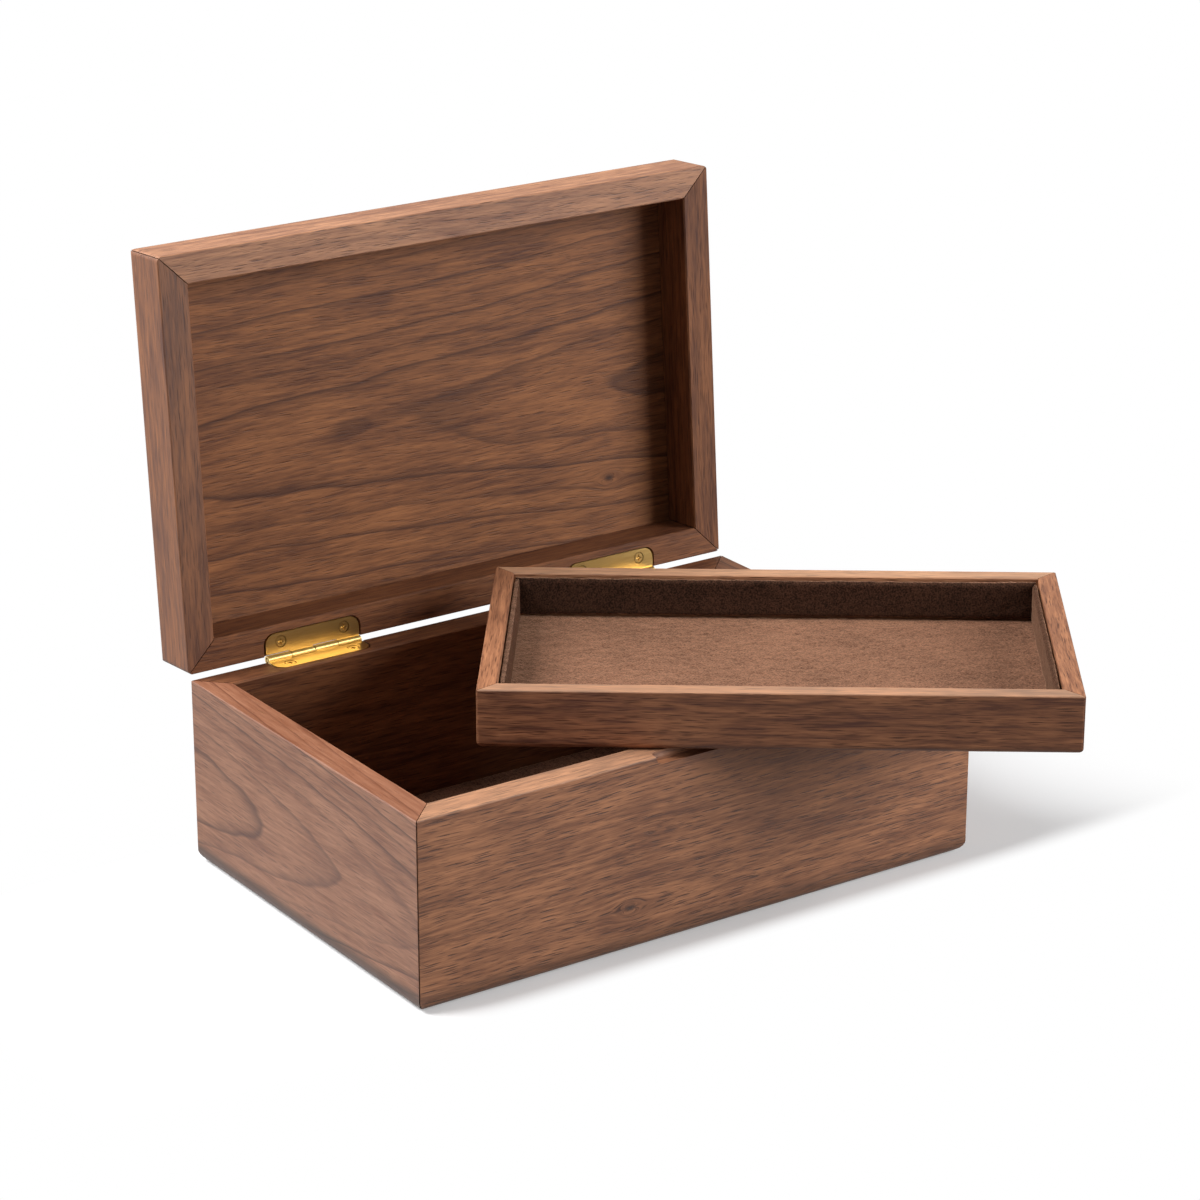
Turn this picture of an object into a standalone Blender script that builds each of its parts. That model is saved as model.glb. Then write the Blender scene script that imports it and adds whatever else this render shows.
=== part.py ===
"""An open keepsake box in walnut: a mitred base with a felt floor, a lid hung on two
brass butt hinges let into the rims, and a felt-lined tray laid turned across the base.

The origin is the middle of the underside, +X to the right along the front, +Y to the
hinges, +Z up. Sizes are in metres. The base stands as it is; the lid is drawn closed
about its hinge axis and then opened; the tray is drawn about its own middle and then
laid on the rim."""

import math

import bmesh
import bpy
from mathutils import Matrix, Vector

# The box, outside
BOX_WIDTH = 0.240
BOX_DEPTH = 0.1555
BASE_HEIGHT = 0.0717
LID_HEIGHT = 0.0222
WALL = 0.0116

# Gaps between pieces that touch or are glued, and the reach of a cutter past what it cuts
SEAT_GAP = 0.0003
MITRE_GAP = 0.0003
OVERRUN = 0.002

# Rounded and eased edges of the wood
BASE_FOOT_ROUND = 0.005
BASE_CORNER_ROUND = 0.0006
LID_TOP_ROUND = 0.003
LID_CORNER_ROUND = 0.0022
ARRIS = 0.0005

# Bottom panel, lid panel, felt floor and the rails that carry the stored tray
BOTTOM_THICKNESS = 0.008
BOTTOM_REBATE = 0.005
LID_PANEL_THICKNESS = 0.004
LID_PANEL_SINK = 0.0004
LID_REBATE = 0.0055
FELT_THICKNESS = 0.0013
RAIL_WIDTH = 0.006
RAIL_HEIGHT = 0.008
TRAY_SINK = 0.0008

# Finger groove in the top outer edge of the front wall, milled with a round-nosed bit
GRIP_LENGTH = 0.044
GRIP_DEPTH = 0.0046
GRIP_HEIGHT = 0.003
GRIP_BIT_RADIUS = 0.0029

# Tray: it drops into the base with this much room on every side
TRAY_ROOM = 0.0029
TRAY_HEIGHT = 0.0217
TRAY_WALL = 0.0072
TRAY_FOOT_ROUND = 0.0025
TRAY_CORNER_ROUND = 0.001
TRAY_REBATE = 0.0035
TRAY_PANEL_THICKNESS = 0.0034
TRAY_PANEL_RISE = 0.0004
TRAY_PAD_THICKNESS = 0.0022
TRAY_PAD_SINK = 0.001

# The tray as it lies: turned clockwise seen from above, its back left corner over the
# inner face of the back wall, this far right of the middle
TRAY_TURN = math.radians(-36.2)
TRAY_CORNER_X = 0.0055

# Hinges: two butt hinges, each with four knuckles on one pin, set in from the box's sides
HINGE_FROM_SIDE = 0.0326
HINGE_LENGTH = 0.040
KNUCKLES = 4
LEAF_DEPTH = 0.0084
LEAF_THICKNESS = 0.0015
LEAF_CORNER = 0.0043
BARREL_RADIUS = 0.0017
BARREL_OFFSET = 0.0012
KNUCKLE_GAP = 0.0003
PIN_RADIUS = 0.00075
PIN_END_ROUND = 0.0002
MORTISE_END_GAP = 0.0008
LID_OPEN_ANGLE = math.radians(94.1)

# Countersunk screws, two to a leaf
SCREW_SPACING = 0.027
SCREW_FROM_BACK = 0.0049
SCREW_HEAD_RADIUS = 0.0020
SCREW_HEAD_RIM = 0.0002
SCREW_HEAD_HEIGHT = 0.0011
SCREW_SINK = 0.0001
SCREW_SHANK_RADIUS = 0.0009
SCREW_LENGTH = 0.009
SCREW_TIP = 0.002
DRIVE_SPAN = 0.0022
DRIVE_WIDTH = 0.0005
DRIVE_DEPTH = 0.0006

# How finely curves are cut into facets, and how near the axis of a turned piece two
# points become one
ROUND_SEGMENTS = 6
CORNER_SEGMENTS = 8
TURNED_STEPS = 32
AXIS_MERGE = 0.00001

# Places worked out from the sizes above
INNER_WIDTH = BOX_WIDTH - 2 * WALL
INNER_DEPTH = BOX_DEPTH - 2 * WALL
BACK_FACE = BOX_DEPTH / 2
LID_RIM = BASE_HEIGHT + SEAT_GAP
LID_TOP = LID_RIM + LID_HEIGHT
AXIS_Y = BACK_FACE + BARREL_OFFSET
AXIS_Z = BASE_HEIGHT + SEAT_GAP / 2
HINGE_AXIS = Vector((0, AXIS_Y, AXIS_Z))
HINGE_FROM_MIDDLE = BOX_WIDTH / 2 - HINGE_FROM_SIDE - HINGE_LENGTH / 2
TRAY_LENGTH = INNER_WIDTH - 2 * TRAY_ROOM
TRAY_DEPTH = INNER_DEPTH - 2 * TRAY_ROOM

COLLECTION = "keepsake_box"
SIDES = ("front", "right", "back", "left")
QUARTER_TURN = math.pi / 2


def clear_scene():
    for obj in list(bpy.data.objects):
        bpy.data.objects.remove(obj, do_unlink=True)


def new_collection(name):
    collection = bpy.data.collections.new(name)
    bpy.context.scene.collection.children.link(collection)
    return collection


def new_material(name, colour, roughness, metallic):
    material = bpy.data.materials.new(name)
    material.use_nodes = True
    shader = material.node_tree.nodes["Principled BSDF"]
    shader.inputs["Base Color"].default_value = (*colour, 1)
    shader.inputs["Roughness"].default_value = roughness
    shader.inputs["Metallic"].default_value = metallic
    material.diffuse_color = (*colour, 1)
    return material


clear_scene()
PIECES = new_collection(COLLECTION)
CUTTERS = new_collection(COLLECTION + "_cutters")
WALNUT = new_material("walnut", (0.20, 0.10, 0.055), 0.45, 0)
FELT = new_material("brown_felt", (0.13, 0.07, 0.045), 0.95, 0)
BRASS = new_material("brass", (0.80, 0.57, 0.22), 0.25, 1)


def object_from(bm, name):
    """A helper object from the mesh; it stays one unless it is made a piece."""
    mesh = bpy.data.meshes.new(name)
    bm.to_mesh(mesh)
    bm.free()
    obj = bpy.data.objects.new(name, mesh)
    CUTTERS.objects.link(obj)
    obj.hide_render = True
    obj.display_type = "WIRE"
    return obj


def make_piece(obj, material, frame=None):
    """Turns a helper into a piece of the box, carried by frame where it has one."""
    CUTTERS.objects.unlink(obj)
    PIECES.objects.link(obj)
    obj.hide_render = False
    obj.display_type = "TEXTURED"
    if not obj.data.materials:
        obj.data.materials.append(material)
    return carried(obj, frame)


def carried(obj, frame):
    """Hangs the object on the frame, an empty that the lid or the tray moves with."""
    if frame:
        obj.parent = frame
    return obj


def box(name, low, high):
    """A box between two corners."""
    bm = bmesh.new()
    bmesh.ops.create_cube(bm, size=1)
    low, high = Vector(low), Vector(high)
    bmesh.ops.scale(bm, verts=bm.verts, vec=high - low)
    bmesh.ops.translate(bm, verts=bm.verts, vec=(low + high) / 2)
    return object_from(bm, name)


def rod(name, start, length, radius):
    """A cylinder from start along +X."""
    bm = bmesh.new()
    bmesh.ops.create_cone(
        bm, cap_ends=True, segments=TURNED_STEPS, radius1=radius, radius2=radius, depth=length
    )
    bmesh.ops.rotate(bm, verts=bm.verts, matrix=Matrix.Rotation(QUARTER_TURN, 3, "Y"))
    bmesh.ops.translate(bm, verts=bm.verts, vec=Vector(start) + Vector((length / 2, 0, 0)))
    return object_from(bm, name)


def round_edges(obj, radius_at, segments=ROUND_SEGMENTS):
    """Rounds a box's edges. radius_at gives an edge's radius, or zero, from whether it is
    upright and where its middle lies, seen from the middle of the box."""
    bm = bmesh.new()
    bm.from_mesh(obj.data)
    weights = bm.edges.layers.float.new("bevel_weight_edge")
    centre = sum((vertex.co for vertex in bm.verts), Vector()) / len(bm.verts)
    wanted = {}
    for edge in bm.edges:
        first, second = (vertex.co for vertex in edge.verts)
        wanted[edge] = radius_at(first.z != second.z, (first + second) / 2 - centre)
    largest = max(wanted.values())
    for edge, radius in wanted.items():
        edge[weights] = radius / largest
    bm.to_mesh(obj.data)
    bm.free()
    bevel = obj.modifiers.new("round", "BEVEL")
    bevel.limit_method = "WEIGHT"
    bevel.width = largest
    bevel.segments = segments
    return obj


def boolean(obj, other, operation="DIFFERENCE"):
    modifier = obj.modifiers.new(operation.lower(), "BOOLEAN")
    modifier.operation = operation
    modifier.object = other
    modifier.solver = "EXACT"


def flared_box(name, low, high, grow, upwards):
    """A box whose upper or lower face is wider by grow all round."""
    obj = box(name, low, high)
    middle = (Vector(low) + Vector(high)) / 2
    for vertex in obj.data.vertices:
        if (vertex.co.z > middle.z) == upwards:
            vertex.co.x += math.copysign(grow, vertex.co.x - middle.x)
            vertex.co.y += math.copysign(grow, vertex.co.y - middle.y)
    return obj


def mitre_wedge(name, side, width, depth, wall, low_z, high_z):
    """What is kept of a whole frame for one wall: a box with 45 degree ends. It is drawn
    for the front wall and turned to its side."""
    at_end = side in ("left", "right")
    run, face = (depth, width / 2) if at_end else (width, depth / 2)
    shift = MITRE_GAP / 2 * math.sqrt(2)
    outer = run / 2 + OVERRUN - shift
    inner = run / 2 - wall - OVERRUN - shift
    obj = box(
        name,
        (-outer, -face - OVERRUN, low_z - OVERRUN),
        (outer, -face + wall + OVERRUN, high_z + OVERRUN),
    )
    for vertex in obj.data.vertices:
        if vertex.co.y > -face:
            vertex.co.x = math.copysign(inner, vertex.co.x)
    obj.data.transform(Matrix.Rotation(SIDES.index(side) * QUARTER_TURN, 4, "Z"))
    return obj


def mitred_frame(prefix, size, wall, rounds, rim_up, rebate, frame=None):
    """Four mitred walls of a frame between two corners, rounded outside as one, eased at
    the inner rim and rebated for a panel at the other edge. rounds has the radii of the
    edges away from the rim and of the upright edges. Gives the walls by side."""
    low, high = Vector(size[0]), Vector(size[1])
    width, depth = high.x - low.x, high.y - low.y
    foot, corner = rounds
    past = Vector((0, 0, OVERRUN))
    upright_edges = round_edges(
        box(prefix + "_upright_edges", low - past, high + past),
        lambda upright, at: corner if upright else 0,
    )
    hollow = Vector((width / 2 - wall, depth / 2 - wall, 0))
    cavity = box(
        prefix + "_cavity",
        (-hollow.x, -hollow.y, low.z - OVERRUN),
        (hollow.x, hollow.y, high.z + OVERRUN),
    )
    ease_low = high.z - ARRIS if rim_up else low.z - OVERRUN
    ease_high = high.z + OVERRUN if rim_up else low.z + ARRIS
    easing = flared_box(
        prefix + "_easing",
        (-hollow.x, -hollow.y, ease_low),
        (hollow.x, hollow.y, ease_high),
        ARRIS + OVERRUN,
        rim_up,
    )
    ledge, ledge_height = rebate
    rebate_low = low.z - OVERRUN if rim_up else high.z - ledge_height
    rebate_high = low.z + ledge_height if rim_up else high.z + OVERRUN
    seat = box(
        prefix + "_rebate",
        (-hollow.x - ledge, -hollow.y - ledge, rebate_low),
        (hollow.x + ledge, hollow.y + ledge, rebate_high),
    )
    walls = {}
    for side in SIDES:
        name = prefix + "_" + side + "_wall"
        obj = round_edges(box(name, low, high), level_radii(foot, rim_up))
        wedge = mitre_wedge(name + "_mitre", side, width, depth, wall, low.z, high.z)
        boolean(obj, upright_edges, "INTERSECT")
        for cutter in (cavity, easing, seat):
            boolean(obj, cutter)
        boolean(obj, wedge, "INTERSECT")
        carried(wedge, frame)
        walls[side] = make_piece(obj, WALNUT, frame)
    for cutter in (upright_edges, cavity, easing, seat):
        carried(cutter, frame)
    return walls


def level_radii(foot, rim_up):
    """The radii of a frame's level outer edges: foot away from the rim, eased at the rim."""

    def radius(upright, at):
        if upright:
            return 0
        return foot if (at.z < 0) == rim_up else ARRIS

    return radius


def front_radii(radius):
    """The radii of a box with only its two upright front edges rounded."""
    return lambda upright, at: radius if upright and at.y < 0 else 0


def base():
    rounds = (BASE_FOOT_ROUND, BASE_CORNER_ROUND)
    size = ((-BOX_WIDTH / 2, -BOX_DEPTH / 2, 0), (BOX_WIDTH / 2, BOX_DEPTH / 2, BASE_HEIGHT))
    seat = BOTTOM_THICKNESS + SEAT_GAP
    walls = mitred_frame("base", size, WALL, rounds, True, (BOTTOM_REBATE, seat))
    boolean(walls["front"], finger_groove())

    reach = BOTTOM_REBATE - SEAT_GAP
    half = Vector((INNER_WIDTH / 2 + reach, INNER_DEPTH / 2 + reach, 0))
    panel = box("base_bottom_panel", -half, half + Vector((0, 0, BOTTOM_THICKNESS)))
    make_piece(panel, WALNUT)

    inside = Vector((INNER_WIDTH / 2 - SEAT_GAP, INNER_DEPTH / 2 - SEAT_GAP, 0))
    felt = box(
        "base_floor_lining",
        (-inside.x, -inside.y, seat),
        (inside.x, inside.y, seat + FELT_THICKNESS),
    )
    make_piece(felt, FELT)

    rail_top = BASE_HEIGHT - TRAY_SINK - TRAY_HEIGHT - SEAT_GAP
    for side, sign in (("left", -1), ("right", 1)):
        outer = sign * inside.x
        inner = outer - sign * RAIL_WIDTH
        rail = box(
            "tray_rail_" + side,
            (min(outer, inner), -inside.y, rail_top - RAIL_HEIGHT),
            (max(outer, inner), inside.y, rail_top),
        )
        make_piece(rail, WALNUT)
    return walls


def finger_groove():
    """A cutter shaped like the run of the bit: a flat floor that rounds up into the wall
    behind it and into both ends."""
    front = -BOX_DEPTH / 2
    groove = box(
        "finger_groove",
        (-GRIP_LENGTH / 2, front - GRIP_DEPTH, BASE_HEIGHT - GRIP_HEIGHT),
        (GRIP_LENGTH / 2, front + GRIP_DEPTH, BASE_HEIGHT + OVERRUN),
    )

    def radius(upright, at):
        in_front = at.y < -GRIP_DEPTH / 2
        above = at.z > 0 and not upright
        return 0 if in_front or above else GRIP_BIT_RADIUS

    return round_edges(groove, radius, CORNER_SEGMENTS)


def lid(frame):
    rounds = (LID_TOP_ROUND, LID_CORNER_ROUND)
    size = ((-BOX_WIDTH / 2, -BOX_DEPTH / 2, LID_RIM), (BOX_WIDTH / 2, BOX_DEPTH / 2, LID_TOP))
    seat = LID_PANEL_SINK + LID_PANEL_THICKNESS + SEAT_GAP
    walls = mitred_frame("lid", size, WALL, rounds, False, (LID_REBATE, seat), frame)

    reach = LID_REBATE - SEAT_GAP
    half = Vector((INNER_WIDTH / 2 + reach, INNER_DEPTH / 2 + reach, 0))
    top = LID_TOP - LID_PANEL_SINK
    panel = box(
        "lid_panel",
        (-half.x, -half.y, top - LID_PANEL_THICKNESS),
        (half.x, half.y, top),
    )
    make_piece(panel, WALNUT, frame)
    return walls


def tray(frame):
    rounds = (TRAY_FOOT_ROUND, TRAY_CORNER_ROUND)
    half_length, half_depth = TRAY_LENGTH / 2, TRAY_DEPTH / 2
    size = ((-half_length, -half_depth, 0), (half_length, half_depth, TRAY_HEIGHT))
    seat = TRAY_PANEL_RISE + TRAY_PANEL_THICKNESS + SEAT_GAP
    mitred_frame("tray", size, TRAY_WALL, rounds, True, (TRAY_REBATE, seat), frame)

    hollow = Vector((half_length - TRAY_WALL, half_depth - TRAY_WALL, 0))
    reach = TRAY_REBATE - SEAT_GAP
    panel = box(
        "tray_bottom_panel",
        (-hollow.x - reach, -hollow.y - reach, TRAY_PANEL_RISE),
        (hollow.x + reach, hollow.y + reach, TRAY_PANEL_RISE + TRAY_PANEL_THICKNESS),
    )
    make_piece(panel, WALNUT, frame)

    inside = hollow - Vector((SEAT_GAP, SEAT_GAP, 0))
    floor_top = seat + FELT_THICKNESS
    felt = box("tray_floor_lining", (-inside.x, -inside.y, seat), (inside.x, inside.y, floor_top))
    make_piece(felt, FELT, frame)

    pad_low = floor_top + SEAT_GAP
    pad_high = TRAY_HEIGHT - TRAY_PAD_SINK
    across = inside.y - TRAY_PAD_THICKNESS
    for side, sign in (("front", -1), ("back", 1)):
        outer, inner = sign * inside.y, sign * across
        pad = box(
            "tray_" + side + "_lining",
            (-inside.x, min(outer, inner), pad_low),
            (inside.x, max(outer, inner), pad_high),
        )
        make_piece(pad, FELT, frame)
    for side, sign in (("left", -1), ("right", 1)):
        outer, inner = sign * inside.x, sign * (inside.x - TRAY_PAD_THICKNESS)
        pad = box(
            "tray_" + side + "_lining",
            (min(outer, inner), -across + SEAT_GAP, pad_low),
            (max(outer, inner), across - SEAT_GAP, pad_high),
        )
        make_piece(pad, FELT, frame)


def turned(name, profile):
    """A solid turned about Z from a profile that runs down its outer side."""
    bm = bmesh.new()
    points = [bm.verts.new((radius, 0, z)) for radius, z in profile]
    for first, second in zip(points, points[1:]):
        bm.edges.new((first, second))
    obj = object_from(bm, name)
    screw = obj.modifiers.new("turn", "SCREW")
    screw.steps = TURNED_STEPS
    screw.render_steps = TURNED_STEPS
    screw.use_merge_vertices = True
    screw.merge_threshold = AXIS_MERGE
    screw.use_smooth_shade = True
    return obj


def screw_profile(room):
    """A countersunk screw's outline from the axis at the head down to its point, or with
    room the hole that it stands in, open above the head."""
    head_top = OVERRUN if room else 0
    return (
        (0, head_top),
        (SCREW_HEAD_RADIUS + room, head_top),
        (SCREW_HEAD_RADIUS + room, -SCREW_HEAD_RIM - room),
        (SCREW_SHANK_RADIUS + room, -SCREW_HEAD_HEIGHT - room),
        (SCREW_SHANK_RADIUS + room, SCREW_TIP - SCREW_LENGTH - room),
        (0, -SCREW_LENGTH - room),
    )


def baked(obj):
    """The object's mesh with its modifiers applied; the object is removed."""
    graph = bpy.context.evaluated_depsgraph_get()
    mesh = bpy.data.meshes.new_from_object(obj.evaluated_get(graph), depsgraph=graph)
    bpy.data.objects.remove(obj, do_unlink=True)
    return mesh


def screw_mesh():
    obj = turned("screw_blank", screw_profile(0))
    long_half, short_half = DRIVE_SPAN / 2, DRIVE_WIDTH / 2
    for name, half in (("slot", (long_half, short_half)), ("cross_slot", (short_half, long_half))):
        slot = box("screw_" + name, (-half[0], -half[1], -DRIVE_DEPTH), (*half, OVERRUN))
        boolean(obj, slot)
    mesh = baked(obj)
    mesh.materials.append(BRASS)
    return mesh


def screw_places(x_middle, face_z, upwards):
    """Where a leaf's two screws stand: their heads just under the leaf's open face."""
    sink = SCREW_SINK if upwards else -SCREW_SINK
    y = BACK_FACE - SCREW_FROM_BACK
    for side, sign in (("left", -1), ("right", 1)):
        yield side, Vector((x_middle + sign * SCREW_SPACING / 2, y, face_z + sink))


def set_screw(obj, place, upwards):
    turn = Matrix.Rotation(math.pi, 4, "X") if upwards else Matrix.Identity(4)
    obj.matrix_basis = Matrix.Translation(place) @ turn
    return obj


def leaf(name, x_middle, upwards, mesh, wall, frame):
    """One leaf of a hinge with its knuckles and screws, and its mortise in the wall. The
    base's leaf faces up and takes every second knuckle from the left, the lid's faces
    down and takes the others."""
    face_z = LID_RIM if upwards else BASE_HEIGHT
    plate_z = (face_z, face_z + LEAF_THICKNESS) if upwards else (face_z - LEAF_THICKNESS, face_z)
    left = x_middle - HINGE_LENGTH / 2
    right = x_middle + HINGE_LENGTH / 2
    plate_back = AXIS_Y - BARREL_RADIUS - SEAT_GAP
    plate = box(
        name + "_leaf",
        (left, BACK_FACE - LEAF_DEPTH, plate_z[0]),
        (right, plate_back, plate_z[1]),
    )
    round_edges(plate, front_radii(LEAF_CORNER), CORNER_SEGMENTS)

    helpers = []
    pitch = HINGE_LENGTH / KNUCKLES
    for number in range(1 if upwards else 0, KNUCKLES, 2):
        start = left + number * pitch + KNUCKLE_GAP / 2
        length = pitch - KNUCKLE_GAP
        tab = box(
            name + f"_tab_{number}",
            (start, plate_back - SEAT_GAP, plate_z[0]),
            (start + length, AXIS_Y, plate_z[1]),
        )
        knuckle = rod(name + f"_knuckle_{number}", (start, AXIS_Y, AXIS_Z), length, BARREL_RADIUS)
        for helper in (tab, knuckle):
            boolean(plate, helper, "UNION")
            helpers.append(helper)
    bore = rod(
        name + "_bore",
        (left - OVERRUN, AXIS_Y, AXIS_Z),
        HINGE_LENGTH + 2 * OVERRUN,
        PIN_RADIUS + SEAT_GAP,
    )
    boolean(plate, bore)

    pocket_z = plate_z[1] + SEAT_GAP if upwards else plate_z[0] - SEAT_GAP
    open_z = face_z - OVERRUN if upwards else face_z + OVERRUN
    pocket = box(
        name + "_mortise",
        (left - MORTISE_END_GAP, BACK_FACE - LEAF_DEPTH - SEAT_GAP, min(pocket_z, open_z)),
        (right + MORTISE_END_GAP, BACK_FACE + OVERRUN, max(pocket_z, open_z)),
    )
    round_edges(pocket, front_radii(LEAF_CORNER), CORNER_SEGMENTS)
    notch = rod(
        name + "_barrel_notch",
        (left - SEAT_GAP, AXIS_Y, AXIS_Z),
        HINGE_LENGTH + 2 * SEAT_GAP,
        BARREL_RADIUS + SEAT_GAP,
    )
    boolean(pocket, notch, "UNION")
    boolean(wall, pocket)
    helpers += [bore, pocket, notch]

    for side, place in screw_places(x_middle, face_z, upwards):
        hole = set_screw(turned(name + "_hole_" + side, screw_profile(SEAT_GAP)), place, upwards)
        boolean(plate, hole)
        boolean(wall, hole)
        helpers.append(hole)
        screw = bpy.data.objects.new(name + "_screw_" + side, mesh)
        CUTTERS.objects.link(screw)
        make_piece(set_screw(screw, place, upwards), BRASS, frame)
    for helper in helpers:
        carried(helper, frame)
    make_piece(plate, BRASS, frame)


def hinge(side, sign, mesh, base_wall, lid_wall, lid_frame):
    x_middle = sign * HINGE_FROM_MIDDLE
    leaf(side + "_hinge_base", x_middle, False, mesh, base_wall, None)
    leaf(side + "_hinge_lid", x_middle, True, mesh, lid_wall, lid_frame)
    start = (x_middle - HINGE_LENGTH / 2 + KNUCKLE_GAP / 2, AXIS_Y, AXIS_Z)
    pin = rod(side + "_hinge_pin", start, HINGE_LENGTH - KNUCKLE_GAP, PIN_RADIUS)
    pin.data.shade_smooth()
    pin.data.set_sharp_from_angle(angle=QUARTER_TURN / 2)
    ends = pin.modifiers.new("ends", "BEVEL")
    ends.width = PIN_END_ROUND
    make_piece(pin, BRASS)


def lid_frame():
    """The empty on the hinge axis that carries the lid. What it carries is drawn closed,
    in the same place as the base's pieces, so its children are set back by the axis."""
    frame = bpy.data.objects.new("lid_hinge_axis", None)
    PIECES.objects.link(frame)
    frame.location = HINGE_AXIS
    frame.rotation_euler.x = -LID_OPEN_ANGLE
    return frame


def tray_frame():
    """The empty under the middle of the tray, which lies flat on the rim of the base."""
    frame = bpy.data.objects.new("tray_place", None)
    PIECES.objects.link(frame)
    turn = Matrix.Rotation(TRAY_TURN, 3, "Z")
    corner = Vector((TRAY_CORNER_X, INNER_DEPTH / 2, BASE_HEIGHT + SEAT_GAP))
    frame.location = corner + turn @ Vector((TRAY_LENGTH / 2, -TRAY_DEPTH / 2, 0))
    frame.rotation_euler.z = TRAY_TURN
    return frame


def set_back_from_axis(frame):
    for child in frame.children:
        child.matrix_parent_inverse = Matrix.Translation(-HINGE_AXIS)


def main():
    lid_carrier = lid_frame()
    base_walls = base()
    lid_walls = lid(lid_carrier)
    tray(tray_frame())
    mesh = screw_mesh()
    for side, sign in (("left", -1), ("right", 1)):
        hinge(side, sign, mesh, base_walls["back"], lid_walls["back"], lid_carrier)
    set_back_from_axis(lid_carrier)


main()
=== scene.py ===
"""The looks of the walnut keepsake box: oiled walnut boards, brown felt linings and brass
hinges, on a plain white floor under soft light. Lengths are in metres unless they say mm."""

import math

import bpy
from mathutils import Matrix, Vector


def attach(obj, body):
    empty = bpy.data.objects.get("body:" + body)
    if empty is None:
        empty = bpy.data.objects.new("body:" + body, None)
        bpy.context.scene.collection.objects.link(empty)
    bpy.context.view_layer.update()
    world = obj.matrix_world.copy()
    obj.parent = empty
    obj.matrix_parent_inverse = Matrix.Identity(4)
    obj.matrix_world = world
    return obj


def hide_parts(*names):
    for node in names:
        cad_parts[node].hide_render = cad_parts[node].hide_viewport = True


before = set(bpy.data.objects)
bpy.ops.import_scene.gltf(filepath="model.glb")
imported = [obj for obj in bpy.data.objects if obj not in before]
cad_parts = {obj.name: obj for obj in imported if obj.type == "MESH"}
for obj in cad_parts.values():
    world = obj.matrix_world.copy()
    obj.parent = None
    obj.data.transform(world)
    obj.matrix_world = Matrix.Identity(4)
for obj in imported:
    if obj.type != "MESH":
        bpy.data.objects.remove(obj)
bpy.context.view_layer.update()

# Millimetres in a metre
MM = 1000

# How the lid and the tray stand, as the frame has them at rest
LID_OPEN = math.radians(94.1)
TRAY_TURN = math.radians(-36.2)
HINGE_AXIS = Vector((0, 0.07895, 0.07185))

# What turns each body back to where it sits square in the closed box
CLOSED = {
    "base": Matrix.Identity(4),
    "lid": Matrix.Translation(HINGE_AXIS)
    @ Matrix.Rotation(LID_OPEN, 4, "X")
    @ Matrix.Translation(-HINGE_AXIS),
    "tray": Matrix.Rotation(-TRAY_TURN, 4, "Z"),
}

# Which way the grain and the face of each board run, with the box closed
ALONG_FRONT = (Vector((1, 0, 0)), Vector((0, 0, 1)))
ALONG_SIDE = (Vector((0, 1, 0)), Vector((0, 0, 1)))
FLAT = (Vector((1, 0, 0)), Vector((0, 1, 0)))

# Browns laid over the wood: a year's late wood, open pores, a knot's core, and the painted shade
# along the foot
RING_BROWN = "#41241A"
PORE_BROWN = "#4A2817"
KNOT_BROWN = "#2E1710"
FOOT_SHADE_BROWN = "#2E231E"

# A pin knot's dark core, and how far round it the fibres are pushed aside
KNOT_RADIUS_MM = 1.4
KNOT_REACH_MM = 3

# How deep the painted light on a lit upper edge lies, and how high the painted shade along
# the foot reaches, each from where it starts to where it is full
LIT_EDGE_MM = (0.6, 0.1)
FOOT_SHADE_MM = (8.5, 5.5)

# Pores, in mm along the grain, across the face and into the board: how far apart they lie
# and half their size. A walnut pore is 0.2 mm wide, too fine to show, so the large ones
# are drawn about 0.5 mm wide, and the small ones between them about 0.3 mm.
LARGE_PORES = ((8, 0.95, 0.95), (4.4, 0.28, 0.28))
SMALL_PORES = ((5, 0.6, 0.6), (2.4, 0.17, 0.17))

# Lines from the polishing belt, along and across the hinge
BELT_LINE_MM = (8, 0.15, 0.15)

# The felt: how fine its mesh is, and the width and height of its lumps and of its nap,
# which sink into the face more than they stand out of it
FELT_MESH = 0.0009
FELT_LUMP = (0.005, 0.0004)
FELT_NAP = (0.0012, 0.0005)
FELT_LEVEL = 0.8

# The padded felts: the pressure that swells them, for how many frames, how far a point may
# move, and how full they are, from 0 for slack to 1 for tight
PAD_PRESSURE = 4
PAD_FRAMES = 20
PAD_SWELL = 0.0003

# The floor: its size, half the box's footprint, how much faster it fades in front of the
# box and behind it, the width of the strip it fades over, and its whiteness close by
FLOOR_SIZE = 40
FOOTPRINT = (0.12, 0.078, 0)
FADE_SHARES = (1, 8, 0)
FADE_STRIP = 0.13
NEAR_WHITE = 0.2

# The lamps: name, place, size and power. All look at the middle of the box.
MIDDLE = (0, 0, 0.08)
SOFTBOXES = (
    ("key_softbox", (-1.05, 0.66, 1.40), 1.1, 59),
    ("fill_softbox", (1.13, -1.18, 0.72), 1.0, 28),
)

# The camera: its place, what it looks at, and its lens on a 36 mm sensor
CAMERA_PLACE = Vector((-0.7205, -1.0590, 0.5765))
CAMERA_AIM = Vector((0.0166, 0.0129, 0.0941))
CAMERA_LENS = 112.9
SENSOR = 36


def linear(colour):
    """An sRGB hex colour as linear red, green, blue and alpha."""
    parts = [int(colour[start : start + 2], 16) / 255 for start in (1, 3, 5)]
    return (*(c / 12.92 if c <= 0.04045 else ((c + 0.055) / 1.055) ** 2.4 for c in parts), 1)


def add_node(tree, kind, inputs=None, **settings):
    """Adds a node with its settings. An input that is another node's socket is linked."""
    made = tree.nodes.new("ShaderNode" + kind)
    for name, value in settings.items():
        setattr(made, name, value)
    for key, value in (inputs or {}).items():
        if isinstance(value, bpy.types.NodeSocket):
            tree.links.new(value, made.inputs[key])
        else:
            made.inputs[key].default_value = value
    return made


def new_material(name):
    material = bpy.data.materials.new(name)
    material.use_nodes = True
    return material, material.node_tree, material.node_tree.nodes["Principled BSDF"]


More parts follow.
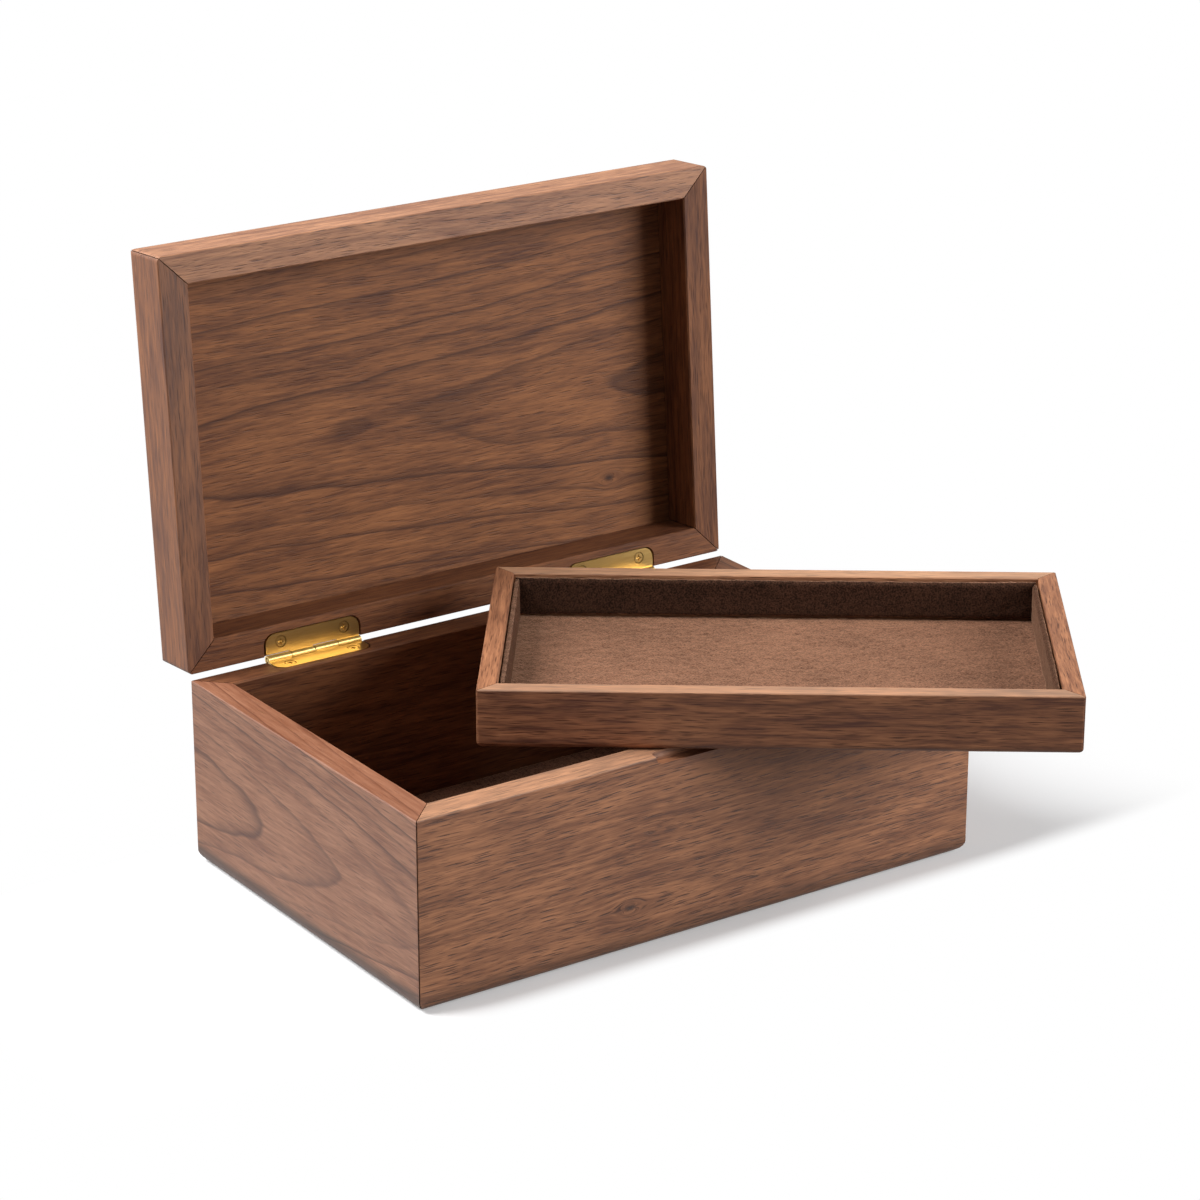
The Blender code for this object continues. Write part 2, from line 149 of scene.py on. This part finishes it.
def extent(node, to_body):
    """A CAD node's lowest and highest corners, once its body is turned square."""
    points = [to_body @ vertex.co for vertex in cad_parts[node].data.vertices]
    low = Vector(min(point[axis] for point in points) for axis in range(3))
    high = Vector(max(point[axis] for point in points) for axis in range(3))
    return low, high


def uneven_growth(tree, source, size_mm, detail, seed):
    """Soft blobs of this size along the grain, across the face and into the board."""
    scaled = add_node(
        tree,
        "VectorMath",
        {0: source, 1: [1 / length for length in size_mm]},
        operation="MULTIPLY",
    )
    return add_node(
        tree,
        "TexNoise",
        {"Vector": scaled.outputs[0], "W": seed, "Scale": 1, "Detail": detail},
        noise_dimensions="4D",
    )


def bend_grain(tree, board, figure):
    """The tree didn't grow straight, so the whole figure sways, and ripples as it goes."""
    bent = board
    for size, reach, shift in (
        (figure["sway_mm"], figure["reach_mm"], 0),
        (figure["ripple_mm"], figure["ripple_reach_mm"], 1),
    ):
        drift = uneven_growth(tree, board, size, 1, figure["seed"] + shift).outputs["Color"]
        centred = add_node(
            tree, "VectorMath", {0: drift, 1: (0.5, 0.5, 0.5)}, operation="SUBTRACT"
        )
        bent = add_node(
            tree,
            "VectorMath",
            {0: centred.outputs[0], 1: (0, reach, reach), 2: bent},
            operation="MULTIPLY_ADD",
        ).outputs[0]
    return bent


def part_round_knot(tree, board, bent, knot_mm):
    """The fibres part round a pin knot, where a twig once grew. Gives the bent grain, and
    how much of the knot's dark core shows."""
    beside = add_node(
        tree, "VectorMath", {0: board, 1: (*knot_mm, 0)}, operation="SUBTRACT"
    ).outputs[0]
    # The knot is drawn out along the grain to twice its width
    beside = add_node(
        tree, "VectorMath", {0: beside, 1: (0.5, 1, 0)}, operation="MULTIPLY"
    ).outputs[0]
    squared = add_node(
        tree, "VectorMath", {0: beside, 1: beside}, operation="DOT_PRODUCT"
    ).outputs["Value"]
    spread = add_node(tree, "Math", {0: squared, 1: 2}, operation="ADD").outputs[0]
    parted = add_node(tree, "Math", {0: -(KNOT_REACH_MM**2), 1: spread}, operation="DIVIDE")
    aside = add_node(
        tree, "VectorMath", {0: beside, 1: (0, 1, 0)}, operation="MULTIPLY"
    ).outputs[0]
    aside = add_node(
        tree, "VectorMath", {0: aside, "Scale": parted.outputs[0]}, operation="SCALE"
    ).outputs[0]
    bent = add_node(tree, "VectorMath", {0: aside, 1: bent}, operation="ADD").outputs[0]
    core = add_node(
        tree,
        "MapRange",
        {"Value": squared, "From Min": KNOT_RADIUS_MM**2, "From Max": 0, "To Max": 0.9},
    )
    return bent, core.outputs[0]


def year_rings(tree, bent, figure):
    """Year rings round the heart of the tree, which tapers, so a flat face cuts arches.
    Each year darkens slowly and ends in a fine dark line, some years darker than others."""
    from_heart = add_node(
        tree, "VectorMath", {0: bent, 1: figure["heart_mm"]}, operation="SUBTRACT"
    ).outputs[0]
    around = add_node(tree, "VectorMath", {0: from_heart, 1: (0, 1, 1)}, operation="MULTIPLY")
    radius = add_node(tree, "VectorMath", {0: around.outputs[0]}, operation="LENGTH")
    along = add_node(tree, "SeparateXYZ", {0: from_heart}).outputs["X"]
    taper = add_node(
        tree,
        "Math",
        {0: along, 1: figure["taper"], 2: radius.outputs["Value"]},
        operation="MULTIPLY_ADD",
    )
    years = add_node(
        tree, "Math", {0: taper.outputs[0], 1: figure["ring_mm"]}, operation="DIVIDE"
    ).outputs[0]
    year = add_node(tree, "Math", {0: years}, operation="FLOOR").outputs[0]
    season = add_node(tree, "Math", {0: years}, operation="FRACT").outputs[0]
    late = add_node(
        tree, "MapRange", {"Value": season, "From Min": 0.4, "From Max": 0.93}
    ).outputs[0]
    late = add_node(tree, "Math", {0: late, 1: 4}, operation="POWER").outputs[0]
    turn = add_node(
        tree,
        "MapRange",
        {"Value": season, "From Min": 0.95, "From Max": 1, "To Min": 1, "To Max": 0},
    ).outputs[0]
    some = add_node(
        tree, "TexWhiteNoise", {"W": year}, noise_dimensions="1D"
    ).outputs["Value"]
    some = add_node(tree, "MapRange", {"Value": some, "To Min": 0.35}).outputs[0]
    ring = add_node(tree, "Math", {0: late, 1: turn}, operation="MULTIPLY").outputs[0]
    return add_node(tree, "Math", {0: ring, 1: some}, operation="MULTIPLY").outputs[0]


def open_pores(tree, bent, ring, spacing_mm, half_size_mm, seed):
    """Fine tubes along the grain, which are short dark dashes where the face cuts them
    open. They crowd in some stretches and at the rings."""
    tubes = add_node(
        tree,
        "VectorMath",
        {0: bent, 1: [1 / length for length in spacing_mm], 2: [seed] * 3},
        operation="MULTIPLY_ADD",
    ).outputs[0]
    tube = add_node(tree, "TexVoronoi", {"Vector": tubes, "Scale": 1})
    away = add_node(
        tree, "VectorMath", {0: tubes, 1: tube.outputs["Position"]}, operation="SUBTRACT"
    )
    away = add_node(
        tree,
        "VectorMath",
        {
            0: away.outputs[0],
            1: [space / half for space, half in zip(spacing_mm, half_size_mm)],
        },
        operation="MULTIPLY",
    )
    reach = add_node(tree, "VectorMath", {0: away.outputs[0]}, operation="LENGTH")
    dash = add_node(
        tree,
        "MapRange",
        {"Value": reach.outputs["Value"], "From Min": 1, "From Max": 0.45},
    )
    chance = add_node(tree, "SeparateXYZ", {0: tube.outputs["Color"]}).outputs["X"]
    crowd = uneven_growth(
        tree, bent, [4 * length for length in spacing_mm], 1, seed
    ).outputs["Fac"]
    chance = add_node(
        tree, "Math", {0: crowd, 1: 2.4, 2: chance}, operation="MULTIPLY_ADD"
    )
    chance = add_node(
        tree, "Math", {0: ring, 1: 0.7, 2: chance.outputs[0]}, operation="MULTIPLY_ADD"
    )
    strength = add_node(
        tree, "MapRange", {"Value": chance.outputs[0], "From Min": 0.8, "From Max": 1.9}
    )
    return add_node(
        tree, "Math", {0: dash.outputs[0], 1: strength.outputs[0]}, operation="MULTIPLY"
    ).outputs[0]


def oiled_walnut(name, node, body, directions, figure):
    """Black walnut, sawn, planed and oiled to a satin. The eye sees brown heartwood with
    darker year rings, fine fibres, short dark pores along the grain and a soft sheen."""
    material, tree, shader = new_material(name)
    grain, across = directions
    to_board = Matrix((grain, across, grain.cross(across))).to_4x4()
    to_body = CLOSED[body]
    low, high = extent(node, to_body)
    place = to_board @ Matrix.Translation(-(low + high) / 2) @ to_body
    seed = figure["seed"]

    # Millimetres along the grain, across the face and into the board, from its middle
    board = add_node(
        tree,
        "Mapping",
        {
            "Vector": add_node(tree, "TexCoord").outputs["Object"],
            "Location": place.to_translation() * MM,
            "Rotation": place.to_euler(),
            "Scale": (MM, MM, MM),
        },
    ).outputs["Vector"]
    bent = bend_grain(tree, board, figure)
    if figure["knot_mm"]:
        bent, core = part_round_knot(tree, board, bent, figure["knot_mm"])
    ring = year_rings(tree, bent, figure)

    # Light and dark patches, streaks of fibre, and single fibres
    cloud = uneven_growth(tree, bent, (38, 9, 9), 2, seed + 3).outputs["Fac"]
    streak = uneven_growth(tree, bent, (22, 1.6, 1.6), 3, seed + 5).outputs["Fac"]
    fibre = uneven_growth(tree, bent, (8, 0.5, 0.5), 2, seed + 7).outputs["Fac"]
    large = open_pores(tree, bent, ring, *LARGE_PORES, seed + 11)
    small = open_pores(tree, bent, ring, *SMALL_PORES, seed + 13)
    pores = add_node(
        tree, "Math", {0: small, 1: 0.7, 2: large}, operation="MULTIPLY_ADD"
    ).outputs[0]

    tone = add_node(
        tree, "Math", {0: cloud, 1: 0.7, 2: streak}, operation="MULTIPLY_ADD"
    ).outputs[0]
    tone = add_node(
        tree, "Math", {0: fibre, 1: 0.7, 2: tone}, operation="MULTIPLY_ADD"
    ).outputs[0]
    # The three add up to 1.2 on average
    calm = figure["calm"]
    light = add_node(
        tree, "MapRange", {"Value": tone, "From Min": 1.2 - calm, "From Max": 1.2 + calm}
    ).outputs[0]
    colour = add_node(
        tree,
        "Mix",
        {"Factor": light, "A": linear(figure["dark"]), "B": linear(figure["light"])},
        data_type="RGBA",
    ).outputs["Result"]

    marks = []
    for mark, depth, shade in ((ring, "ring_depth", RING_BROWN), (pores, "pore_depth", PORE_BROWN)):
        amount = add_node(
            tree, "Math", {0: mark, 1: figure[depth]}, operation="MULTIPLY", use_clamp=True
        )
        marks.append((amount.outputs[0], shade))
    if figure["knot_mm"]:
        marks.append((core, KNOT_BROWN))
    # Painted light: the top face and the upper edge of the sides take another tone, which
    # stands in for the lit rim and its highlight. Painted shade: the foot is darkened where the
    # rounded foot turns away from the light.
    half = (high - low).z / 2 * MM
    for part, start, end, shade in (
        ("lit_edge", half - LIT_EDGE_MM[0], half - LIT_EDGE_MM[1], figure["lit_edge_tone"]),
        ("foot_shade", FOOT_SHADE_MM[0] - half, FOOT_SHADE_MM[1] - half, FOOT_SHADE_BROWN),
    ):
        if figure[part]:
            upward = add_node(tree, "SeparateXYZ", {0: board}).outputs["Y"]
            band = add_node(
                tree,
                "MapRange",
                {"Value": upward, "From Min": start, "From Max": end, "To Max": figure[part]},
            )
            marks.append((band.outputs[0], shade))
    for amount, shade in marks:
        colour = add_node(
            tree,
            "Mix",
            {"Factor": amount, "A": colour, "B": linear(shade)},
            data_type="RGBA",
        ).outputs["Result"]
    tree.links.new(colour, shader.inputs["Base Color"])

    gloss = add_node(tree, "MapRange", {"Value": fibre, "To Min": 0.48, "To Max": 0.62})
    tree.links.new(gloss.outputs[0], shader.inputs["Roughness"])
    shader.inputs["Specular IOR Level"].default_value = figure["polish"]
    height = add_node(tree, "Math", {0: pores, 1: -1.5, 2: fibre}, operation="MULTIPLY_ADD")
    bump = add_node(
        tree, "Bump", {"Height": height.outputs[0], "Strength": 0.4, "Distance": 0.0001}
    )
    tree.links.new(bump.outputs[0], shader.inputs["Normal"])
    return material


# How a board's figure runs, in mm. The heart of the tree lies behind the board's face.
# A high calm spreads the tones, so that fewer patches are fully dark or fully light.
STRAIGHT = {
    "seed": 1,
    "sway_mm": (150, 45, 45),
    "reach_mm": 7,
    "ripple_mm": (26, 9, 9),
    "ripple_reach_mm": 1.6,
    "heart_mm": (0, -150, -110),
    "taper": 0.03,
    "ring_mm": 5,
    "ring_depth": 0.35,
    "pore_depth": 0.75,
    "calm": 0.31,
    "polish": 0.35,
    "knot_mm": None,
    # How strong the painted light on the upper edge is and its tone, and how strong the painted
    # shade along the foot is
    "lit_edge": 0,
    "lit_edge_tone": "#F0C8A4",
    "foot_shade": 0,
    "dark": "#6A402C",
    "light": "#B87E59",
}
# A paler copy of the walnut for boards whose tops catch the light, and a darker one for boards seen
# mostly in shade: their tone is partly the wood's own, partly painted light and painted shade.
PALE_AND_LIT = {**STRAIGHT, "dark": "#784A33", "light": "#C48C66"}
DARK_AND_SHADED = {**STRAIGHT, "dark": "#542F20", "light": "#99633F", "polish": 0.3}
ARCHED = {
    **STRAIGHT,
    "heart_mm": (0, 0, -62.7),
    "taper": 0.045,
    "ring_mm": 7,
    "ring_depth": 0.8,
    "pore_depth": 0.6,
    "calm": 0.36,
}

# Each board: its body, how it lies, and its figure
BOARDS = {
    "base_front_wall": (
        "base",
        ALONG_FRONT,
        {
            **STRAIGHT,
            "seed": 2.1,
            "pore_depth": 1.1,
            "calm": 0.26,
            "knot_mm": (-33, -18.7),
            "polish": 0.5,
            "lit_edge": 0.15,
            "foot_shade": 0.35,
        },
    ),
    "base_back_wall": ("base", ALONG_FRONT, {**DARK_AND_SHADED, "seed": 5.4, "foot_shade": 0.6}),
    "base_left_wall": (
        "base",
        ALONG_SIDE,
        {
            **ARCHED,
            "seed": 8.2,
            "taper": -0.06,
            "heart_mm": (40, -4, -45),
            "reach_mm": 5,
            "ring_mm": 3.6,
            "ring_depth": 0.9,
            "pore_depth": 0.55,
            "polish": 0.65,
            # Painted light on its upper edge in an oranger tone, and a deep painted shade along its
            # foot
            "lit_edge": 0.35,
            "lit_edge_tone": "#8A4618",
            "foot_shade": 0.75,
            "light": "#A6785E",
        },
    ),
    "base_right_wall": ("base", ALONG_SIDE, {**ARCHED, "seed": 11.7, "foot_shade": 0.6}),
    "base_bottom_panel": ("base", FLAT, {**ARCHED, "seed": 14.3}),
    "tray_rail_left": ("base", ALONG_SIDE, {**STRAIGHT, "seed": 17.9}),
    "tray_rail_right": ("base", ALONG_SIDE, {**STRAIGHT, "seed": 20.6}),
    "lid_front_wall": ("lid", ALONG_FRONT, {**PALE_AND_LIT, "seed": 23.5, "polish": 0.6}),
    "lid_back_wall": ("lid", ALONG_FRONT, {**DARK_AND_SHADED, "seed": 26.8}),
    "lid_left_wall": ("lid", ALONG_SIDE, {**DARK_AND_SHADED, "seed": 29.2, "polish": 0.6}),
    "lid_right_wall": ("lid", ALONG_SIDE, {**DARK_AND_SHADED, "seed": 32.1}),
    "lid_panel": (
        "lid",
        FLAT,
        {
            **ARCHED,
            "seed": 35.7,
            "heart_mm": (54, 7, -62.8),
            "knot_mm": (80.4, 43.8),
            "taper": -0.03,
            "ring_mm": 4.2,
            "dark": "#542F20",
            "light": "#A86E44",
            "polish": 0.3,
        },
    ),
    "tray_front_wall": (
        "tray",
        ALONG_FRONT,
        {
            **STRAIGHT,
            "seed": 38.4,
            "calm": 0.25,
            "pore_depth": 0.9,
            "lit_edge": 0.22,
            # A darker face than the other tray boards: partly the board's own tone, partly painted
            # shade on a face that little light reaches
            "dark": "#5C3628",
            "light": "#AC7351",
        },
    ),
    "tray_back_wall": ("tray", ALONG_FRONT, {**PALE_AND_LIT, "seed": 41.3, "lit_edge": 0.25}),
    "tray_left_wall": ("tray", ALONG_SIDE, {**STRAIGHT, "seed": 44.6}),
    "tray_right_wall": ("tray", ALONG_SIDE, {**STRAIGHT, "seed": 47.2}),
    "tray_bottom_panel": ("tray", FLAT, {**ARCHED, "seed": 50.9}),
}


def polished_brass():
    """Rolled brass, polished and left bare: a warm yellow metal with a soft shine and faint
    lines along the hinge from the polishing belt."""
    material, tree, shader = new_material("polished_brass")
    place = add_node(tree, "TexCoord").outputs["Object"]
    scaled = add_node(
        tree,
        "VectorMath",
        {0: place, 1: [MM / length for length in BELT_LINE_MM]},
        operation="MULTIPLY",
    )
    lines = add_node(
        tree, "TexNoise", {"Vector": scaled.outputs[0], "Scale": 1, "Detail": 2}
    ).outputs["Fac"]
    colour = add_node(
        tree,
        "Mix",
        {"Factor": lines, "A": linear("#D2AC62"), "B": linear("#EACB86")},
        data_type="RGBA",
    )
    tree.links.new(colour.outputs["Result"], shader.inputs["Base Color"])
    gloss = add_node(tree, "MapRange", {"Value": lines, "To Min": 0.26, "To Max": 0.40})
    tree.links.new(gloss.outputs[0], shader.inputs["Roughness"])
    bump = add_node(tree, "Bump", {"Height": lines, "Strength": 0.12, "Distance": 0.00005})
    tree.links.new(bump.outputs[0], shader.inputs["Normal"])
    shader.inputs["Metallic"].default_value = 1
    return material


def wool_felt(name, dark, light):
    """Brown wool felt, pressed and not woven: a matt ground of matted hairs, some paler,
    which catch the light as a soft bloom at grazing angles."""
    material, tree, shader = new_material(name)
    place = add_node(tree, "TexCoord").outputs["Object"]
    # Flecks of paler hair, which are 0.1 mm wide and drawn 0.6 mm wide to show, tufts 2 mm
    # wide and patches of nap 22 mm wide
    fleck = {}
    for part, size, detail in (("hair", 0.6, 2), ("tuft", 2, 2), ("nap", 22, 1)):
        fleck[part] = add_node(
            tree, "TexNoise", {"Vector": place, "Scale": MM / size, "Detail": detail}
        ).outputs["Fac"]
    tone = -0.4
    for part, share in (("hair", 1.5), ("tuft", 0.4), ("nap", 0.35)):
        tone = add_node(
            tree, "Math", {0: fleck[part], 1: share, 2: tone}, operation="MULTIPLY_ADD"
        ).outputs[0]
    pale = add_node(tree, "MapRange", {"Value": tone, "From Min": 0.48, "From Max": 0.98})
    colour = add_node(
        tree,
        "Mix",
        {"Factor": pale.outputs[0], "A": linear(dark), "B": linear(light)},
        data_type="RGBA",
    )
    tree.links.new(colour.outputs["Result"], shader.inputs["Base Color"])
    height = add_node(
        tree, "Math", {0: fleck["tuft"], 1: 0.8, 2: fleck["hair"]}, operation="MULTIPLY_ADD"
    )
    bump = add_node(
        tree, "Bump", {"Height": height.outputs[0], "Strength": 0.8, "Distance": 0.0003}
    )
    tree.links.new(bump.outputs[0], shader.inputs["Normal"])
    for socket, value in (
        ("Roughness", 1),
        ("Specular IOR Level", 0.1),
        ("Sheen Weight", 1),
        ("Sheen Roughness", 0.4),
        ("Sheen Tint", linear("#D9A888")),
    ):
        shader.inputs[socket].default_value = value
    return material


def dress_boards():
    for node, (body, directions, figure) in BOARDS.items():
        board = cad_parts[node].data
        board.materials.clear()
        board.materials.append(
            oiled_walnut("oiled_walnut_" + node, node, body, directions, figure)
        )


def dress_hinges():
    brass = polished_brass()
    for node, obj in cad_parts.items():
        if "hinge" in node:
            obj.data.materials.clear()
            obj.data.materials.append(brass)


def swell(pad):
    """Blows the pad up a little as cloth, and holds every point near its first place."""
    first = [vertex.co.copy() for vertex in pad.data.vertices]
    cloth = pad.modifiers.new("swell", "CLOTH")
    cloth.settings.use_pressure = True
    cloth.settings.uniform_pressure_force = PAD_PRESSURE
    cloth.settings.effector_weights.gravity = 0
    scene = bpy.context.scene
    for number in range(1, PAD_FRAMES + 1):
        scene.frame_set(number)
    graph = bpy.context.evaluated_depsgraph_get()
    swollen = [vertex.co.copy() for vertex in pad.evaluated_get(graph).data.vertices]
    pad.modifiers.remove(cloth)
    scene.frame_set(1)
    for vertex, start, end in zip(pad.data.vertices, first, swollen):
        move = end - start
        vertex.co = start + move * min(1, PAD_SWELL / max(move.length, PAD_SWELL))


def felt_piece(name, node, body, material, padded=False):
    """A pressed felt lining in the place of its CAD solid, with soft, slightly uneven
    faces and edges. A padded one is swollen first."""
    to_body = CLOSED[body]
    low, high = extent(node, to_body)
    bpy.ops.object.select_all(action="DESELECT")
    bpy.ops.mesh.primitive_cube_add(size=1, location=(low + high) / 2, scale=high - low)
    felt = bpy.context.active_object
    felt.name = name
    bpy.ops.object.transform_apply(location=True, rotation=True, scale=True)
    remesh = felt.modifiers.new("felted", "REMESH")
    remesh.mode = "VOXEL"
    remesh.voxel_size = FELT_MESH
    bpy.ops.object.modifier_apply(modifier="felted")
    if padded:
        swell(felt)
    for width, depth in (FELT_LUMP, FELT_NAP):
        texture = bpy.data.textures.new(name + "_nap", "CLOUDS")
        texture.noise_scale = width
        nap = felt.modifiers.new("nap", "DISPLACE")
        nap.texture = texture
        nap.strength = depth
        nap.mid_level = FELT_LEVEL
        bpy.ops.object.modifier_apply(modifier="nap")
    bpy.ops.object.shade_smooth()
    bpy.ops.object.select_all(action="DESELECT")
    felt.select_set(True)
    felt.matrix_world = to_body.inverted()
    bpy.ops.object.transform_apply(location=True, rotation=True, scale=True)
    felt.data.materials.append(material)
    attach(felt, body)
    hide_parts(node)
    return felt, high - low


def line_with_felt():
    floor = wool_felt("brown_wool_felt", "#3E251B", "#89604A")
    # The pads are the same felt as the floors, in darker colours: painted shade for their upright
    # faces, which stand in shade
    shaded_felt = wool_felt("shaded_brown_wool_felt", "#1E110B", "#4E3326")
    for body in ("base", "tray"):
        sheet, size = felt_piece(body + "_floor_felt", body + "_floor_lining", body, floor)
    for side in ("front", "back", "left", "right"):
        pad, _ = felt_piece(
            f"tray_{side}_felt", f"tray_{side}_lining", "tray", shaded_felt, padded=True
        )


def how_far_out(tree):
    """How far a point of the floor lies outside the box's footprint, counted faster in
    front of the box and behind it, where the paper is plain white after a narrow strip."""
    beyond = add_node(tree, "TexCoord").outputs["Object"]
    for operation, by in (
        ("ABSOLUTE", None),
        ("SUBTRACT", FOOTPRINT),
        ("MAXIMUM", (0, 0, 0)),
        ("MULTIPLY", FADE_SHARES),
    ):
        inputs = {0: beyond, 1: by} if by else {0: beyond}
        beyond = add_node(tree, "VectorMath", inputs, operation=operation).outputs[0]
    return add_node(tree, "VectorMath", {0: beyond}, operation="LENGTH").outputs["Value"]


def white_paper_floor():
    """Matt white paper under a bright lamp. It keeps the box's shadow close by and fades
    to plain white further out, which only the camera and reflections see."""
    material, tree, shader = new_material("white_paper_floor")
    shader.inputs["Roughness"].default_value = 1
    shader.inputs["Specular IOR Level"].default_value = 0
    outside = add_node(
        tree,
        "MapRange",
        {"Value": how_far_out(tree), "From Min": 0, "From Max": FADE_STRIP},
        interpolation_type="SMOOTHSTEP",
    ).outputs[0]
    path = add_node(tree, "LightPath")
    seen = path.outputs["Is Camera Ray"]
    for ray in ("Is Glossy Ray", "Is Transmission Ray"):
        seen = add_node(
            tree, "Math", {0: seen, 1: path.outputs[ray]}, operation="MAXIMUM"
        ).outputs[0]
    washed = add_node(tree, "Math", {0: outside, 1: NEAR_WHITE}, operation="MAXIMUM")
    plain = add_node(tree, "Math", {0: seen, 1: washed.outputs[0]}, operation="MULTIPLY")
    # The light that the floor throws back up is held down, which keeps the box's foot dark
    paper = add_node(
        tree,
        "Mix",
        {
            "Factor": path.outputs["Is Diffuse Ray"],
            "A": linear("#F2F2F3"),
            "B": linear("#474748"),
        },
        data_type="RGBA",
    )
    tree.links.new(paper.outputs["Result"], shader.inputs["Base Color"])
    white = add_node(tree, "Emission", {"Color": (1, 1, 1, 1), "Strength": 1})
    both = add_node(
        tree, "MixShader", {0: plain.outputs[0], 1: shader.outputs[0], 2: white.outputs[0]}
    )
    tree.links.new(both.outputs[0], tree.nodes["Material Output"].inputs["Surface"])
    return material


def white_room():
    """The camera sees plain white. Gloss sees the white backdrop behind the box, and a
    dimmer room in front of it."""
    world = bpy.data.worlds.new("white_room")
    world.use_nodes = True
    tree = world.node_tree
    tree.nodes.clear()
    path = add_node(tree, "LightPath")
    seen = add_node(
        tree,
        "Math",
        {0: path.outputs["Is Camera Ray"], 1: path.outputs["Is Transmission Ray"]},
        operation="MAXIMUM",
    )
    towards = add_node(
        tree, "SeparateXYZ", {0: add_node(tree, "TexCoord").outputs["Generated"]}
    ).outputs["Y"]
    backdrop = add_node(
        tree,
        "MapRange",
        {"Value": towards, "From Min": -0.5, "From Max": 0.4, "To Min": 0.15, "To Max": 0.6},
        interpolation_type="SMOOTHSTEP",
    )
    gloss = add_node(
        tree,
        "Mix",
        {"Factor": path.outputs["Is Glossy Ray"], "A": 0.15, "B": backdrop.outputs[0]},
    )
    room = add_node(
        tree, "Background", {"Color": (1, 1, 1, 1), "Strength": gloss.outputs["Result"]}
    )
    plain = add_node(tree, "Background", {"Color": (1, 1, 1, 1), "Strength": 1})
    both = add_node(
        tree, "MixShader", {0: seen.outputs[0], 1: room.outputs[0], 2: plain.outputs[0]}
    )
    tree.links.new(both.outputs[0], add_node(tree, "OutputWorld").inputs["Surface"])
    return world


def set_stage():
    """A white floor and a white room round it, with two softboxes."""
    bpy.ops.object.select_all(action="DESELECT")
    bpy.ops.mesh.primitive_plane_add(size=FLOOR_SIZE)
    floor = bpy.context.active_object
    floor.name = "floor"
    floor.data.materials.append(white_paper_floor())
    bpy.context.scene.world = white_room()
    for name, place, size, power in SOFTBOXES:
        light = bpy.data.lights.new(name, "AREA")
        light.shape = "RECTANGLE"
        light.size = light.size_y = size
        light.energy = power
        softbox = bpy.data.objects.new(name, light)
        bpy.context.scene.collection.objects.link(softbox)
        softbox.location = place
        look = Vector(MIDDLE) - softbox.location
        softbox.rotation_euler = look.to_track_quat("-Z", "Y").to_euler()


def set_camera():
    camera = bpy.data.cameras.new("camera")
    camera.lens = CAMERA_LENS
    camera.sensor_width = SENSOR
    stand = bpy.data.objects.new("camera", camera)
    bpy.context.scene.collection.objects.link(stand)
    stand.location = CAMERA_PLACE
    stand.rotation_euler = (CAMERA_AIM - CAMERA_PLACE).to_track_quat("-Z", "Y").to_euler()
    bpy.context.scene.camera = stand
    bpy.context.scene.view_settings.view_transform = "Standard"


set_camera()
dress_boards()
dress_hinges()
line_with_felt()
set_stage()
